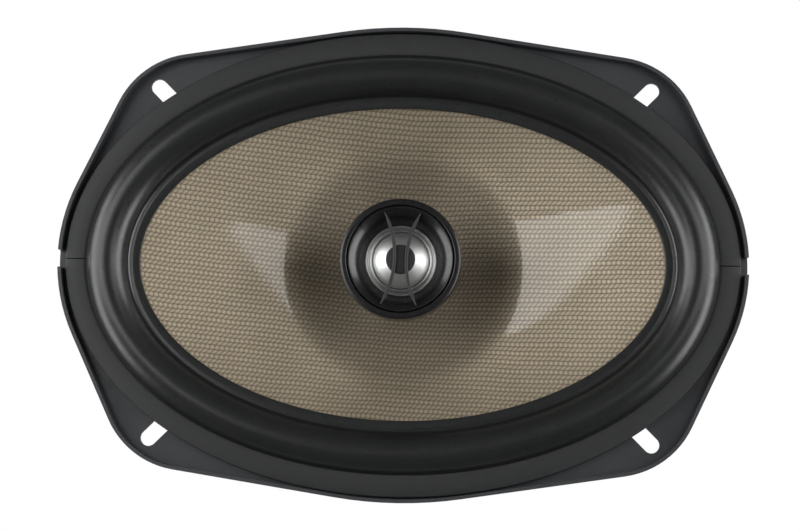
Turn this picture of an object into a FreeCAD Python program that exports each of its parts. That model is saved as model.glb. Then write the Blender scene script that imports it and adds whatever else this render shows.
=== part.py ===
import FreeCAD, Part
import math
import os

from FreeCAD import Vector

os.makedirs("parts", exist_ok=True)

# Oval coaxial car speaker, 6 x 9 inch class: woofer with a tweeter on a post in front of it.
#
# The frame is in millimetres. The origin is the middle of the plane on which the flange seats,
# on the driver's axis. +Z is the way the speaker fires, +X its long axis, +Y its short axis.

# ---- driving dimensions ------------------------------------------------------------------

SHEET = 1.2  # thickness of the pressed steel frame

# flange outline: four shallow arcs, straight stretches and round corners
HALF_LENGTH = 118.0
HALF_WIDTH = 81.7
LONG_SIDE_R = 140.0
SHORT_SIDE_R = 61.0
CORNER_R = 29.7
LONG_SIDE_SLOPE = 0.153  # radians, straight stretch against X
SHORT_SIDE_SLOPE = 0.440  # radians, straight stretch against Y
LIP_TOP = 5.6
BEND_R = 1.0
LIP_NOTCH = 6.0
CLIP_WINDOW = (5.7, 1.9)  # length and height
CLIP_WINDOW_X = 69.0

# screw slots in the four corners
SLOT_X = 85.35
SLOT_Y = 60.9
SLOT_R = 2.75
SLOT_TRAVEL = 8.0  # between the two arc centres, at 45 degrees

# oval stations, as half lengths and half widths
GASKET_OUTER = (115.4, 79.8)
GASKET_INNER = (109.4, 73.3)
OPENING = (109.3, 73.5)
ROLL_PATH = (101.55, 65.45)  # middle of the half roll
GASKET_Z = (2.0, 4.2)
GASKET_SEAM = 0.35

# surround
ROLL_R = 7.1
RUBBER = 0.8
LAND_OUT = 12.2  # outer and inner lands, from the middle of the roll
LAND_IN = 11.5

# cone
CONE_EDGE = (90.5, 54.9)
CONE_RIM = (93.2, 57.2)
CONE_EDGE_Z = 1.2
CREASE_R = 41.5  # round crease between the funnel and the flatter oval wings
CREASE_Z = -11.0
NECK_R = 16.4
NECK_Z = -27.0
CONE_WALL = 0.8
NECK_COLLAR = 5.0

# voice coil
FORMER = (15.7, 16.0)
FORMER_Z = (-60.5, -25.8)
WINDING_R = 16.6
WINDING_LENGTH = 12.0

# basket behind the flange
BOWL_BACK_R = 57.0
SHOULDER_Z = -38.0  # top of the ledge that the spider is glued to
BOWL_BEND = (0.36, 0.20)  # share of the depth, share of the narrowing
DRUM_R = 46.2
DRUM_BOTTOM = -50.5
BASKET_HOLE_R = 22.0
WINDOW_COUNT = 12
WINDOW_WIDTH = 22.0
WINDOW_Z = (-31.5, -8.0)
WINDOW_CORNER = 5.0

# spider
SPIDER_EDGE_R = 50.6
SPIDER_WAVES = 5
SPIDER_WAVE_R = (18.2, 44.6)
SPIDER_WAVE = 1.4
SPIDER_CLOTH = 0.4

# motor
PLATE_R = 46.0
TOP_PLATE_T = 5.5
TOP_PLATE_HOLE_R = 17.2
MAGNET_R = (22.0, 47.5)
MAGNET_T = 19.0
YOKE_T = 5.0
POLE_R = 15.2
BORE_R = 5.15
NUT_POCKET = (9.5, 7.0)  # radius and depth
WIRE_GROOVE = (4.4, 2.4)  # width and depth
RIVET_CIRCLE_R = 36.0
RIVET_R = 1.95
RIVET_COUNT = 4

# tweeter
POST_R = 7.6
POST_TUBE_R = 5.0
POST_BORE_R = 3.2
HOUSING_R = 19.6
HOUSING_BACK = -8.0
HOUSING_WALL = 1.5
BEZEL_R = 20.5
BEZEL_IN_R = 18.3
BEZEL_TOP = 14.5
BEZEL_ROUND = 1.5
GUIDE_OUT_R = 17.9
GUIDE_THROAT_R = 12.3
GUIDE_TOP = 13.9
GUIDE_BACK = 8.0
THROAT_Z = 8.6
DOME_R = 9.5
DOME_BASE = 7.9
DOME_RISE = 2.7
DOME_WALL = 0.25
CUP_R = (10.2, 12.2)
CUP_Z = (0.3, 7.5)
TWEETER_MAGNET_R = 8.0
TWEETER_POLE_R = 8.7
TWEETER_FORMER = (9.05, 9.25)
TWEETER_WINDING_R = 9.65

# phase bridge: two bowed bars crossing the tweeter's mouth, and a disc behind them
BRIDGE_TURN = -1.8  # degrees
BAR_END = (5.9, 15.8)
BAR_WAIST = 2.1
BAR_WIDTH = 1.2
BAR_Z = (12.7, 14.1)
PHASE_DISC_R = 5.0
PHASE_DISC_Z = (11.9, 12.7)

# terminal board, under the shoulder on the -Y side
BOARD_HALF = 21.0
BOARD_Y = (-67.5, -46.9)
BOARD_T = 1.6
BOARD_RIVET = (18.0, -49.9)
BOARD_RIVET_R = 1.2
TAB_X = 8.0
TAB_Y = -62.0
TAB_TIP_Y = -77.0
TAB_T = 0.8
TAB_WIDTHS = (6.3, 4.8)
EYELET = (17.0, -61.0)  # solder eyelets for the tweeter's wires
CAP_R = 4.3
CAP_HALF = 9.0
CAP_LEAD = (12.5, -60.5)
LEAD_R = 0.55
WIRE_R = 0.7
WIRE_APART = 1.15  # from Z to each tweeter wire inside the post
CONE_EYELET = (8.0, -30.0)  # where the lead wires meet the back of the cone
CONE_EYELET_R = 1.5

# worked out from the above
TOP_PLATE_BACK = DRUM_BOTTOM - TOP_PLATE_T
MAGNET_BACK = TOP_PLATE_BACK - MAGNET_T
BACK = MAGNET_BACK - YOKE_T
GAP_MIDDLE = DRUM_BOTTOM - TOP_PLATE_T / 2
BOARD_TOP = SHOULDER_Z - SHEET

SMALL = 0.05  # glue line between neighbouring pieces


# ---- building blocks ---------------------------------------------------------------------


def point(x, y, z=0.0):
    return Vector(x, y, z)


def cylinder(radius, z0, z1, x=0.0, y=0.0):
    return Part.makeCylinder(radius, z1 - z0, point(x, y, z0))


def tube(inner, outer, z0, z1, x=0.0, y=0.0):
    return cylinder(outer, z0, z1, x, y).cut(cylinder(inner, z0 - 1, z1 + 1, x, y))


def block(x0, x1, y0, y1, z0, z1):
    return Part.makeBox(x1 - x0, y1 - y0, z1 - z0, point(x0, y0, z0))


def oval_wire(half, z):
    a, b = half
    if abs(a - b) < 1e-6:
        return Part.Wire(Part.Circle(point(0, 0, z), Vector(0, 0, 1), a).toShape())
    return Part.Wire(Part.Ellipse(point(0, 0, z), a, b).toShape())


def oval_plate(half, z0, z1):
    return Part.Face(oval_wire(half, z0)).extrude(Vector(0, 0, z1 - z0))


def oval_ring(inner, outer, z0, z1):
    return oval_plate(outer, z0, z1).cut(oval_plate(inner, z0 - 1, z1 + 1))


def revolved(edges):
    """A solid of revolution about Z from closed profile edges in the XZ plane."""
    face = Part.Face(Part.Wire(Part.__sortEdges__(edges)))
    return face.revolve(Vector(0, 0, 0), Vector(0, 0, 1), 360)


def line(p, q):
    return Part.LineSegment(point(p[0], 0, p[1]), point(q[0], 0, q[1])).toShape()


def arc(p, through, q):
    return Part.Arc(*[point(c[0], 0, c[1]) for c in (p, through, q)]).toShape()


def polyline(points):
    return [line(p, q) for p, q in zip(points, points[1:] + points[:1])]


def turned(points):
    """A solid of revolution from the corners of its profile, as (radius, z) pairs."""
    return revolved(polyline(points))


def bent_path(route, bend):
    """Straight stretches between the route's corners, which are rounded to radius bend."""
    corners = [Vector(*p) for p in route]
    edges = []
    start = corners[0]
    for before, corner, after in zip(corners, corners[1:], corners[2:]):
        back, ahead = before - corner, after - corner
        half = back.getAngle(ahead) / 2
        reach = min(bend / math.tan(half), 0.45 * back.Length, 0.45 * ahead.Length)
        back.normalize()
        ahead.normalize()
        entry, leave = corner + back * reach, corner + ahead * reach
        r = reach * math.tan(half)
        inward = (back + ahead).normalize()
        middle = corner + inward * (r / math.sin(half) - r)
        edges.append(Part.LineSegment(start, entry).toShape())
        edges.append(Part.Arc(entry, middle, leave).toShape())
        start = leave
    edges.append(Part.LineSegment(start, corners[-1]).toShape())
    return Part.Wire(edges)


def wire_solid(radius, route, bend):
    """A round wire along the route."""
    start = Vector(*route[0])
    ring = Part.Circle(start, Vector(*route[1]) - start, radius).toShape()
    return bent_path(route, bend).makePipe(Part.Face(Part.Wire(ring)))


def around(shape, count, first=0.0):
    """Copies of a shape spaced evenly about Z."""
    copies = []
    for i in range(count):
        copy = shape.copy()
        copy.rotate(Vector(0, 0, 0), Vector(0, 0, 1), first + 360.0 * i / count)
        copies.append(copy)
    return copies


def mirrored(shape):
    return shape.mirror(Vector(0, 0, 0), Vector(1, 0, 0))


def blend(low, high, share):
    return low + (high - low) * share


# ---- flange ------------------------------------------------------------------------------


def flange_outline(inset, z):
    """The flange's outline moved inward by inset: arcs and straight stretches, all tangent."""
    half_l, half_w = HALF_LENGTH - inset, HALF_WIDTH - inset
    long_r, short_r, corner = LONG_SIDE_R - inset, SHORT_SIDE_R - inset, CORNER_R - inset
    s, t = LONG_SIDE_SLOPE, SHORT_SIDE_SLOPE
    on_long = (long_r * math.sin(s), half_w - long_r + long_r * math.cos(s))
    on_short = (half_l - short_r + short_r * math.cos(t), short_r * math.sin(t))
    # where the two straight stretches would meet
    dx, dy = on_short[0] - on_long[0], on_short[1] - on_long[1]
    run = (dx * math.cos(t) + dy * math.sin(t)) / math.cos(s + t)
    meet = (on_long[0] + run * math.cos(s), on_long[1] - run * math.sin(s))
    turn = math.pi / 2 - s - t
    back = corner * math.tan(turn / 2)
    start = (meet[0] - back * math.cos(s), meet[1] + back * math.sin(s))
    end = (meet[0] + back * math.sin(t), meet[1] - back * math.cos(t))
    centre = (start[0] - corner * math.sin(s), start[1] - corner * math.cos(s))
    middle = math.pi / 2 - s - turn / 2
    mid = (centre[0] + corner * math.cos(middle), centre[1] + corner * math.sin(middle))

    def at(p, sx, sy):
        return point(sx * p[0], sy * p[1], z)

    edges = []
    for sy in (1, -1):
        long_side = (at(on_long, -1, sy), point(0, sy * half_w, z), at(on_long, 1, sy))
        edges.append(Part.Arc(*long_side).toShape())
        for sx in (1, -1):
            edges.append(Part.LineSegment(at(on_long, sx, sy), at(start, sx, sy)).toShape())
            edges.append(Part.Arc(at(start, sx, sy), at(mid, sx, sy), at(end, sx, sy)).toShape())
            edges.append(Part.LineSegment(at(end, sx, sy), at(on_short, sx, sy)).toShape())
    for sx in (1, -1):
        short_side = (at(on_short, sx, 1), point(sx * half_l, 0, z), at(on_short, sx, -1))
        edges.append(Part.Arc(*short_side).toShape())
    return Part.Wire(Part.__sortEdges__(edges))


def flange_plate(inset, z0, z1):
    return Part.Face(flange_outline(inset, z0)).extrude(Vector(0, 0, z1 - z0))


def edges_at(shape, z):
    return [e for e in shape.Edges if all(abs(v.Z - z) < 1e-4 for v in e.Vertexes)]


def flange():
    plate = flange_plate(0.0, 0.0, LIP_TOP)
    plate = plate.makeFillet(BEND_R, edges_at(plate, 0.0))
    return plate.cut(flange_plate(SHEET, SHEET, LIP_TOP + 1))


def screw_slot(sx, sy):
    step = SLOT_TRAVEL / math.sqrt(2)
    outer = (sx * SLOT_X, sy * SLOT_Y)
    inner = (sx * (SLOT_X - step), sy * (SLOT_Y - step))
    bar = block(0, SLOT_TRAVEL, -SLOT_R, SLOT_R, -1, SHEET + 1)
    bar.rotate(Vector(0, 0, 0), Vector(0, 0, 1), math.degrees(math.atan2(-sy, -sx)))
    bar.translate(Vector(outer[0], outer[1], 0))
    ends = [cylinder(SLOT_R, -1, SHEET + 1, *p) for p in (outer, inner)]
    return bar.fuse(ends)


def flange_cuts():
    cuts = []
    half = LIP_NOTCH / 2
    length, height = CLIP_WINDOW
    for side in (1, -1):
        x0, x1 = sorted((side * (HALF_LENGTH - 2 * SHEET), side * (HALF_LENGTH + 1)))
        cuts.append(block(x0, x1, -half, half, SHEET, LIP_TOP + 1))
        y0, y1 = sorted((side * (HALF_WIDTH - 9), side * (HALF_WIDTH + 1)))
        for x in (CLIP_WINDOW_X, -CLIP_WINDOW_X):
            cuts.append(block(x - length / 2, x + length / 2, y0, y1, SHEET, SHEET + height))
        cuts.append(screw_slot(1, side))
        cuts.append(screw_slot(-1, side))
    return cuts


# ---- basket ------------------------------------------------------------------------------


def bowl_solid(inset, z_top, z_back):
    """The bowl's oval-to-round body as a filled solid, moved inward by inset."""
    wide = (OPENING[0] + SHEET - inset, OPENING[1] + SHEET - inset)
    back = BOWL_BACK_R - inset
    depth, narrow = BOWL_BEND
    middle = (blend(wide[0], back, narrow), blend(wide[1], back, narrow))
    sections = [
        oval_wire(wide, z_top),
        oval_wire(middle, blend(z_top, z_back, depth)),
        oval_wire((back, back), z_back),
    ]
    return Part.makeLoft(sections, True, False)


def window_cutter():
    """A rounded bar that cuts one window, pointing along +X."""
    z0, z1 = WINDOW_Z
    bar = block(DRUM_R, HALF_LENGTH + 5, -WINDOW_WIDTH / 2, WINDOW_WIDTH / 2, z0, z1)
    lengthwise = [e for e in bar.Edges if abs(e.Vertexes[0].X - e.Vertexes[1].X) > 1]
    return bar.makeFillet(WINDOW_CORNER, lengthwise)


def basket():
    bowl = bowl_solid(0.0, 0.0, SHOULDER_Z - SHEET)
    body = flange().fuse([bowl, cylinder(DRUM_R, DRUM_BOTTOM, SHOULDER_Z)])
    inside = bowl_solid(SHEET, 0.0, SHOULDER_Z)
    hollow = [
        inside,
        oval_plate(OPENING, 0.0, SHEET + 1),
        cylinder(DRUM_R - SHEET, DRUM_BOTTOM + SHEET, SHOULDER_Z + 1),
        cylinder(BASKET_HOLE_R, DRUM_BOTTOM - 1, SHOULDER_Z),
    ]
    for tool in hollow + flange_cuts() + around(window_cutter(), WINDOW_COUNT):
        body = body.cut(tool)
    hole = cylinder(RIVET_R + 0.1, DRUM_BOTTOM - 1, DRUM_BOTTOM + 3, RIVET_CIRCLE_R)
    for tool in around(hole, RIVET_COUNT, 45):
        body = body.cut(tool)
    for side in (1, -1):
        x, y = side * BOARD_RIVET[0], BOARD_RIVET[1]
        body = body.cut(cylinder(BOARD_RIVET_R + 0.1, SHOULDER_Z - 3, SHOULDER_Z + 1, x, y))
    return body.removeSplitter()


# ---- front gasket ------------------------------------------------------------------------


def front_gasket(side):
    ring = oval_ring(GASKET_INNER, GASKET_OUTER, *GASKET_Z)
    y0, y1 = sorted((side * GASKET_SEAM / 2, side * HALF_WIDTH))
    return ring.common(block(-HALF_LENGTH, HALF_LENGTH, y0, y1, 0, LIP_TOP))


# ---- surround, cone and voice coil -------------------------------------------------------


def surround():
    """Half roll and two flat lands, one rubber moulding, swept round the oval."""
    x = ROLL_PATH[0]
    z0, z1 = CONE_EDGE_Z, CONE_EDGE_Z + RUBBER
    outer_r, inner_r = ROLL_R + RUBBER / 2, ROLL_R - RUBBER / 2
    foot = math.sqrt(outer_r**2 - RUBBER**2)
    corners = [
        (x + foot, z1),
        (x + LAND_OUT, z1),
        (x + LAND_OUT, z0),
        (x + inner_r, z0),
    ]
    inner_corners = [
        (x - inner_r, z0),
        (x - LAND_IN, z0),
        (x - LAND_IN, z1),
        (x - foot, z1),
    ]
    edges = [line(p, q) for p, q in zip(corners, corners[1:])]
    edges += [line(p, q) for p, q in zip(inner_corners, inner_corners[1:])]
    edges.append(arc(corners[-1], (x, z0 + inner_r), inner_corners[0]))
    edges.append(arc(inner_corners[-1], (x, z0 + outer_r), corners[0]))
    profile = Part.Wire(Part.__sortEdges__(edges))
    return oval_wire(ROLL_PATH, 0.0).makePipeShell([profile], True, True)


def cone_station(share):
    """Half axes and height of the front face: share 0 at the neck, 1 at the crease, 2 at the edge."""
    if share <= 1:
        r = blend(NECK_R, CREASE_R, share)
        return (r, r), blend(NECK_Z, CREASE_Z, share)
    half = tuple(blend(CREASE_R, edge, share - 1) for edge in CONE_EDGE)
    return half, blend(CREASE_Z, CONE_EDGE_Z, share - 1)


def cone_solid(drop):
    sections = []
    for share in (0, 1, 2):
        half, z = cone_station(share)
        sections.append(oval_wire(half, z - drop))
    return Part.makeLoft(sections, True, True)


def cone():
    front = cone_solid(0.0)
    wall = cone_solid(CONE_WALL)
    rim = oval_plate(CONE_RIM, CONE_EDGE_Z - CONE_WALL, CONE_EDGE_Z)
    collar_r = NECK_R + 0.35
    collar = cylinder(collar_r, NECK_Z - NECK_COLLAR, NECK_Z - CONE_WALL / 2)
    body = wall.fuse([rim, collar]).cut(front)
    body = body.cut(cylinder(FORMER[1] + SMALL, NECK_Z - NECK_COLLAR - 1, NECK_Z + 1))
    return body.removeSplitter()


def voice_coil_former():
    return tube(*FORMER, *FORMER_Z)


def voice_coil_winding():
    half = WINDING_LENGTH / 2
    return tube(FORMER[1], WINDING_R, GAP_MIDDLE - half, GAP_MIDDLE + half)


def spider_curve(lift):
    """The corrugated stretch of the spider's cloth, raised by lift."""
    r0, r1 = SPIDER_WAVE_R
    steps = 8 * SPIDER_WAVES
    z = SHOULDER_Z + SPIDER_CLOTH / 2 + lift
    points = []
    for i in range(steps + 1):
        wave = SPIDER_WAVE * math.sin(2 * math.pi * SPIDER_WAVES * i / steps)
        points.append(point(blend(r0, r1, i / steps), 0, z + wave))
    curve = Part.BSplineCurve()
    curve.interpolate(points)
    return curve.toShape(), (points[0].x, points[0].z), (points[-1].x, points[-1].z)


def spider():
    top, top_in, top_out = spider_curve(SPIDER_CLOTH / 2)
    low, low_in, low_out = spider_curve(-SPIDER_CLOTH / 2)
    inner = FORMER[1] + SMALL
    edges = [top, low]
    edges.append(line(top_in, (inner, top_in[1])))
    edges.append(line((inner, top_in[1]), (inner, low_in[1])))
    edges.append(line((inner, low_in[1]), low_in))
    edges.append(line(top_out, (SPIDER_EDGE_R, top_out[1])))
    edges.append(line((SPIDER_EDGE_R, top_out[1]), (SPIDER_EDGE_R, low_out[1])))
    edges.append(line((SPIDER_EDGE_R, low_out[1]), low_out))
    return revolved(edges)


def cone_back(x, y):
    """Height of the cone's back face at a place, found by halving the range of stations."""
    low, high = 0.0, 2.0
    for _ in range(30):
        share = (low + high) / 2
        half, z = cone_station(share)
        if math.hypot(x / half[0], y / half[1]) > 1:
            low = share
        else:
            high = share
    return z - CONE_WALL


def cone_back_normal(x, y):
    step = 0.5
    slope_x = (cone_back(x + step, y) - cone_back(x - step, y)) / (2 * step)
    slope_y = (cone_back(x, y + step) - cone_back(x, y - step)) / (2 * step)
    return Vector(slope_x, slope_y, -1).normalize()


def cone_eyelets():
    """Two small riveted eyelets on the back of the cone, where the lead wires end."""
    eyelets = []
    for side in (1, -1):
        x, y = side * CONE_EYELET[0], CONE_EYELET[1]
        out = cone_back_normal(x, y)
        base = point(x, y, cone_back(x, y)) + out * 0.12
        outer = Part.makeCylinder(CONE_EYELET_R, 1.0, base, out)
        eyelets.append(outer.cut(Part.makeCylinder(0.6, 3.0, base - out, out)))
    return Part.makeCompound(eyelets)


def coil_wires():
    """Two fine wires from the winding up the former and along the back of the cone."""
    x, y = CONE_EYELET[0] - 1.8, CONE_EYELET[1] + 1.2
    r = NECK_R + 0.35 + 0.45
    below = 0.75
    wires = []
    for side in (1, -1):
        route = [
            (side * 2.0, -FORMER[1] - 0.35, GAP_MIDDLE + WINDING_LENGTH / 2 + 0.3),
            (side * 2.4, -FORMER[1] - 0.45, SHOULDER_Z - 6.0),
            (side * 2.8, -FORMER[1] - 0.45, SHOULDER_Z - 2.2),
        ]
        wires.append(wire_solid(0.18, route, 1.0))
        route = [
            (side * 2.8, -r, NECK_Z - 5.5),
            (side * 3.0, -r, NECK_Z - 3.5),
        ]
        for share in (0.25, 0.6, 1.0):
            px, py = blend(3.0, x, share), blend(-r, y, share)
            route.append((side * px, py, cone_back(px, py) - below))
        wires.append(wire_solid(0.18, route, 1.0))
    return Part.makeCompound(wires)


# ---- motor -------------------------------------------------------------------------------


def top_plate():
    body = tube(TOP_PLATE_HOLE_R, PLATE_R, TOP_PLATE_BACK, DRUM_BOTTOM)
    hole = cylinder(RIVET_R + 0.1, TOP_PLATE_BACK - 1, DRUM_BOTTOM + 1, RIVET_CIRCLE_R)
    for tool in around(hole, RIVET_COUNT, 45):
        body = body.cut(tool)
    return body


def magnet():
    inner, outer = MAGNET_R
    chamfer = 1.0
    return turned(
        [
            (inner, MAGNET_BACK),
            (outer - chamfer, MAGNET_BACK),
            (outer, MAGNET_BACK + chamfer),
            (outer, TOP_PLATE_BACK - chamfer),
            (outer - chamfer, TOP_PLATE_BACK),
            (inner, TOP_PLATE_BACK),
        ]
    )


def yoke():
    """Back plate and pole in one forging, bored for the post, with a pocket for its nut."""
    pocket_r, pocket_depth = NUT_POCKET
    chamfer = 0.8
    body = turned(
        [
            (pocket_r, BACK),
            (PLATE_R - chamfer, BACK),
            (PLATE_R, BACK + chamfer),
            (PLATE_R, MAGNET_BACK),
            (POLE_R, MAGNET_BACK),
            (POLE_R, DRUM_BOTTOM - chamfer),
            (POLE_R - chamfer, DRUM_BOTTOM),
            (BORE_R, DRUM_BOTTOM),
            (BORE_R, BACK + pocket_depth),
            (pocket_r, BACK + pocket_depth),
        ]
    )
    width, depth = WIRE_GROOVE
    return body.cut(block(-width / 2, width / 2, -PLATE_R - 1, 0, BACK - 1, BACK + depth))


def motor_rivets():
    head = DRUM_BOTTOM + SHEET
    shank = cylinder(RIVET_R, TOP_PLATE_BACK, head + 0.2, RIVET_CIRCLE_R)
    cap = cylinder(3.6, head, head + 1.3, RIVET_CIRCLE_R)
    return Part.makeCompound(around(shank.fuse(cap), RIVET_COUNT, 45))


# ---- tweeter -----------------------------------------------------------------------------


def tweeter_post():
    """Moulded column on the pole, with a threaded tube that goes down through the bore."""
    tube_end = BACK + 2.4
    foot_r = 13.6
    return turned(
        [
            (POST_BORE_R, tube_end),
            (POST_TUBE_R, tube_end),
            (POST_TUBE_R, DRUM_BOTTOM),
            (foot_r, DRUM_BOTTOM),
            (foot_r, DRUM_BOTTOM + 3.0),
            (POST_R + 1.2, DRUM_BOTTOM + 8.0),
            (POST_R, DRUM_BOTTOM + 14.0),
            (POST_R, HOUSING_BACK - 8.0),
            (POST_R + 3.4, HOUSING_BACK - 1.0),
            (POST_R + 3.4, HOUSING_BACK),
            (POST_BORE_R, HOUSING_BACK),
        ]
    )


def post_washer():
    z = BACK + NUT_POCKET[1]
    return tube(POST_TUBE_R + 0.15, 9.0, z - 1.0, z)


def post_nut():
    z = BACK + NUT_POCKET[1] - 1.0
    height = 3.6
    corner = 8.2
    angles = [k * math.pi / 3 for k in range(7)]
    hexagon = [point(corner * math.cos(a), corner * math.sin(a), z) for a in angles]
    body = Part.Face(Part.makePolygon(hexagon)).extrude(Vector(0, 0, -height))
    return body.cut(cylinder(POST_TUBE_R, z - height - 1, z + 1))


def tweeter_housing():
    """Cup-shaped shell behind the bezel, with a ring that carries the tweeter's own motor."""
    wall, back, top = HOUSING_WALL, HOUSING_BACK, BEZEL_TOP - 2.4
    r = HOUSING_R
    shell = turned(
        [
            (POST_BORE_R, back),
            (r - 6.0, back),
            (r - 1.6, back + 3.4),
            (r, back + 8.0),
            (r, top),
            (r - wall, top),
            (r - wall, back + 8.4),
            (r - 1.6 - wall, back + 4.4),
            (r - 6.6, back + wall),
            (POST_BORE_R, back + wall),
        ]
    )
    seat = tube(7.6, 10.4, back + wall - 0.4, CUP_Z[0] - SMALL)
    seat = seat.cut(block(-12, 12, -2.2, 2.2, back + wall, CUP_Z[0]))
    return shell.fuse(seat).removeSplitter()


def tweeter_bezel():
    top, low, skirt = BEZEL_TOP, BEZEL_TOP - 2.3, BEZEL_TOP - 7.5
    r, c = BEZEL_R, BEZEL_ROUND
    mid = (r - c + c * math.sqrt(0.5), top - c + c * math.sqrt(0.5))
    edges = [
        line((BEZEL_IN_R, top), (r - c, top)),
        arc((r - c, top), mid, (r, top - c)),
        line((r, top - c), (r, skirt)),
        line((r, skirt), (HOUSING_R + SMALL, skirt)),
        line((HOUSING_R + SMALL, skirt), (HOUSING_R + SMALL, low)),
        line((HOUSING_R + SMALL, low), (BEZEL_IN_R, low)),
        line((BEZEL_IN_R, low), (BEZEL_IN_R, top)),
    ]
    return revolved(edges)


def tweeter_waveguide():
    """Flared mouth: a curved slope from the rim down to the throat round the dome."""
    rim, throat = (GUIDE_OUT_R - 0.5, GUIDE_TOP), (GUIDE_THROAT_R, THROAT_Z)
    belly = (blend(throat[0], rim[0], 0.42), blend(throat[1], rim[1], 0.56))
    edges = [
        arc(throat, belly, rim),
        line(rim, (GUIDE_OUT_R, GUIDE_TOP)),
        line((GUIDE_OUT_R, GUIDE_TOP), (GUIDE_OUT_R, GUIDE_BACK)),
        line((GUIDE_OUT_R, GUIDE_BACK), (GUIDE_THROAT_R, GUIDE_BACK)),
        line((GUIDE_THROAT_R, GUIDE_BACK), throat),
    ]
    return revolved(edges)


def bridge_bar(side):
    """One bowed bar: nearest the middle at its waist, spreading to its two ends."""
    ex, ey = BAR_END
    half = BAR_WIDTH / 2
    z0, z1 = BAR_Z

    def bow(offset):
        ends = [point(side * (ex + offset), sy * ey, z0) for sy in (1, -1)]
        return Part.Arc(ends[0], point(side * (BAR_WAIST + offset), 0, z0), ends[1])

    inner, outer = bow(-half), bow(half)
    closing = [
        Part.LineSegment(inner.StartPoint, outer.StartPoint).toShape(),
        Part.LineSegment(inner.EndPoint, outer.EndPoint).toShape(),
    ]
    edges = [inner.toShape(), outer.toShape()] + closing
    face = Part.Face(Part.Wire(Part.__sortEdges__(edges)))
    return face.extrude(Vector(0, 0, z1 - z0))


def phase_bridge():
    disc = cylinder(PHASE_DISC_R, *PHASE_DISC_Z)
    body = disc.fuse([bridge_bar(1), bridge_bar(-1)]).cut(tweeter_waveguide())
    solid = max(body.Solids, key=lambda s: s.Volume)
    solid.rotate(Vector(0, 0, 0), Vector(0, 0, 1), BRIDGE_TURN)
    return solid


def dome_cap(radius, rise, base):
    """A filled spherical cap standing on z = base."""
    ball_r = (radius**2 + rise**2) / (2 * rise)
    ball = Part.makeSphere(ball_r, point(0, 0, base + rise - ball_r))
    return ball.common(cylinder(radius + 1, base, base + rise + 1))


def tweeter_dome():
    cap = dome_cap(DOME_R, DOME_RISE, DOME_BASE)
    return cap.cut(dome_cap(DOME_R - DOME_WALL, DOME_RISE - DOME_WALL, DOME_BASE - 0.001))


def tweeter_suspension():
    """Thin ring that carries the dome: a shallow roll clamped under the waveguide."""
    t = 0.25
    z = DOME_BASE - 0.35
    r0, r1, r2 = DOME_R + 0.15, CUP_R[1] + 0.05, GUIDE_OUT_R - 0.6
    low = z
    top = z + t
    edges = [
        arc((r0, top), ((r0 + r1) / 2, top + 0.5), (r1, top)),
        line((r1, top), (r2, top)),
        line((r2, top), (r2, low)),
        line((r2, low), (r1 - 0.2, low)),
        arc((r1 - 0.2, low), ((r0 + r1) / 2, low + 0.45), (r0, low)),
        line((r0, low), (r0, top)),
    ]
    return revolved(edges)


def tweeter_cup():
    r0, r1 = CUP_R
    z0, z1 = CUP_Z
    return turned([(0, z0), (r1, z0), (r1, z1), (r0, z1), (r0, z0 + 1.5), (0, z0 + 1.5)])


def tweeter_magnet():
    return cylinder(TWEETER_MAGNET_R, CUP_Z[0] + 1.5, 5.0)


def tweeter_pole_disc():
    return cylinder(TWEETER_POLE_R, 5.0, 7.0)


def tweeter_coil_former():
    return tube(*TWEETER_FORMER, 5.2, DOME_BASE - SMALL)


def tweeter_coil():
    return tube(TWEETER_FORMER[1], TWEETER_WINDING_R, 5.3, 6.8)


def tweeter_wire():
    """Insulated wire on the +X side: down the post, out under the yoke, up to the board."""
    x = WIRE_APART
    back = BACK + WIRE_R + 0.3
    board = BOARD_TOP - BOARD_T
    route = [
        (14.6, 0, 4.5),
        (14.4, 0, -1.8),
        (3.0, 0, -4.4),
        (x, 0, -8.5),
        (x, 0, back),
        (x, -50.0, back),
        (EYELET[0], -50.6, BACK + 30.0),
        (EYELET[0], EYELET[1], board - 4.0),
        (EYELET[0], EYELET[1], board - 0.5),
    ]
    return wire_solid(WIRE_R, route, 3.0)


# ---- terminals and crossover -------------------------------------------------------------


def board_holes():
    holes = []
    for side in (1, -1):
        holes.append((side * TAB_X, TAB_Y, 1.5))
        holes.append((side * EYELET[0], EYELET[1], 1.0))
        holes.append((side * CAP_LEAD[0], CAP_LEAD[1], 0.6))
        holes.append((side * BOARD_RIVET[0], BOARD_RIVET[1], BOARD_RIVET_R + 0.1))
    return holes


def terminal_board():
    z1 = BOARD_TOP
    z0 = z1 - BOARD_T
    body = block(-BOARD_HALF, BOARD_HALF, BOARD_Y[0], BOARD_Y[1], z0, z1)
    upright = [e for e in body.Edges if abs(e.Vertexes[0].Z - e.Vertexes[1].Z) > 1]
    body = body.makeFillet(2.0, upright)
    body = body.cut(cylinder(DRUM_R + 0.3, z0 - 1, z1 + 1))
    for x, y, r in board_holes():
        body = body.cut(cylinder(r, z0 - 1, z1 + 1, x, y))
    return body


def terminal_tab(side, width):
    """A blade for a push-on connector, with a riveted foot and a chamfered tip."""
    z0 = BOARD_TOP
    half = width / 2
    tip = 1.2
    x = side * TAB_X
    corners = [
        point(x - half, TAB_Y + 3.5, z0),
        point(x + half, TAB_Y + 3.5, z0),
        point(x + half, TAB_TIP_Y + tip, z0),
        point(x + half - tip, TAB_TIP_Y, z0),
        point(x - half + tip, TAB_TIP_Y, z0),
        point(x - half, TAB_TIP_Y + tip, z0),
    ]
    corners.append(corners[0])
    blade = Part.Face(Part.makePolygon(corners)).extrude(Vector(0, 0, TAB_T))
    blade = blade.cut(cylinder(1.5, z0 - 1, z0 + 2, x, TAB_Y))
    return blade.cut(cylinder(0.9, z0 - 1, z0 + 2, x, TAB_TIP_Y + 4.0))


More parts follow.
